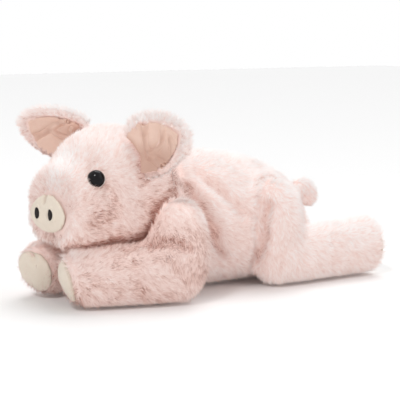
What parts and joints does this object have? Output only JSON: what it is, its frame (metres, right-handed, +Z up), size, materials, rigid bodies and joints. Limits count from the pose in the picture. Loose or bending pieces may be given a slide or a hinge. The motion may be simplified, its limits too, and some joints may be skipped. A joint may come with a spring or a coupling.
{
  "type": "plush pig",
  "caption": "Stuffed plush pig lying on its belly with its chin on its forelegs; head, ears, legs and tail move.",
  "frame": {"origin": "middle of the ground that the pig covers, on the floor", "axes": "+X from the snout to the hind feet, +Y to the pig's right side, +Z up; it rests on its belly and legs"},
  "size_m": [0.2839, 0.1576, 0.1391],
  "materials": {
    "plush": "short dense pile, pale pink, streaky",
    "velour": "smooth cream velour",
    "ear_lining": "smooth peach cloth",
    "filling": "loose white fibre",
    "seam_thread": "pink sewing thread",
    "nostril_stitching": "dark satin stitches",
    "eye": "polished black",
    "washer": "moulded white"
  },
  "bodies": {
    "torso": {"body_cover": "plush", "body_filling": "filling"},
    "neck": {"neck_seam_thread": "seam_thread"},
    "head": {"head_cover": "plush", "head_filling": "filling", "snout_pad": "velour", "left_nostril": "nostril_stitching", "right_nostril": "nostril_stitching", "left_eye": "eye", "right_eye": "eye", "left_eye_washer": "washer", "right_eye_washer": "washer"},
    "left_ear_body": {"left_ear": "plush", "left_ear_lining": "ear_lining"},
    "right_ear_body": {"right_ear": "plush", "right_ear_lining": "ear_lining"},
    "left_foreleg": {"left_foreleg_cover": "plush", "left_foreleg_filling": "filling", "left_foreleg_sole": "velour"},
    "right_foreleg": {"right_foreleg_cover": "plush", "right_foreleg_filling": "filling", "right_foreleg_sole": "velour"},
    "left_hind_leg": {"left_hind_leg_cover": "plush", "left_hind_leg_filling": "filling", "left_hind_leg_sole": "velour"},
    "right_hind_leg": {"right_hind_leg_cover": "plush", "right_hind_leg_filling": "filling", "right_hind_leg_sole": "velour"},
    "tail_body": {"tail": "plush"}
  },
  "joints": [
    {"name": "head_turn", "type": "hinge", "parent": "torso", "child": "neck", "pos_m": [-0.08226, 0.00425, 0.082], "axis": [0, 0, 1], "range_deg": [-22, 10], "stiffness_Nm_per_rad": 0.3},
    {"name": "head_nod", "type": "hinge", "parent": "neck", "child": "head", "pos_m": [-0.08226, 0.00425, 0.082], "axis": [-0.1045, 0.9945, 0], "range_deg": [0, 15], "stiffness_Nm_per_rad": 0.3},
    {"name": "left_ear_turn", "type": "hinge", "parent": "head", "child": "left_ear_body", "pos_m": [-0.0782, -0.03445, 0.10924], "axis": [0.06, -0.5704, -0.8192], "range_deg": [-15, 15], "stiffness_Nm_per_rad": 0.05},
    {"name": "right_ear_turn", "type": "hinge", "parent": "head", "child": "right_ear_body", "pos_m": [-0.08577, 0.03766, 0.11559], "axis": [-0.0739, 0.7032, -0.7071], "range_deg": [-15, 15], "stiffness_Nm_per_rad": 0.05},
    {"name": "left_foreleg_spread", "type": "hinge", "parent": "torso", "child": "left_foreleg", "pos_m": [-0.05526, -0.04575, 0], "axis": [0, 0, 1], "range_deg": [0, 20], "stiffness_Nm_per_rad": 0.1},
    {"name": "right_foreleg_spread", "type": "hinge", "parent": "torso", "child": "right_foreleg", "pos_m": [-0.05526, 0.05425, 0], "axis": [0, 0, 1], "range_deg": [-20, 0], "stiffness_Nm_per_rad": 0.1},
    {"name": "left_hind_leg_spread", "type": "hinge", "parent": "torso", "child": "left_hind_leg", "pos_m": [0.04174, -0.03775, 0], "axis": [0, 0, 1], "range_deg": [-22, 8], "stiffness_Nm_per_rad": 0.1},
    {"name": "right_hind_leg_spread", "type": "hinge", "parent": "torso", "child": "right_hind_leg", "pos_m": [0.04174, 0.04625, 0], "axis": [0, 0, 1], "range_deg": [-8, 22], "stiffness_Nm_per_rad": 0.1},
    {"name": "tail_wag", "type": "hinge", "parent": "torso", "child": "tail_body", "pos_m": [0.09274, 0.00425, 0.064], "axis": [0, 0, 1], "range_deg": [-25, 25], "stiffness_Nm_per_rad": 0.01}
  ]
}
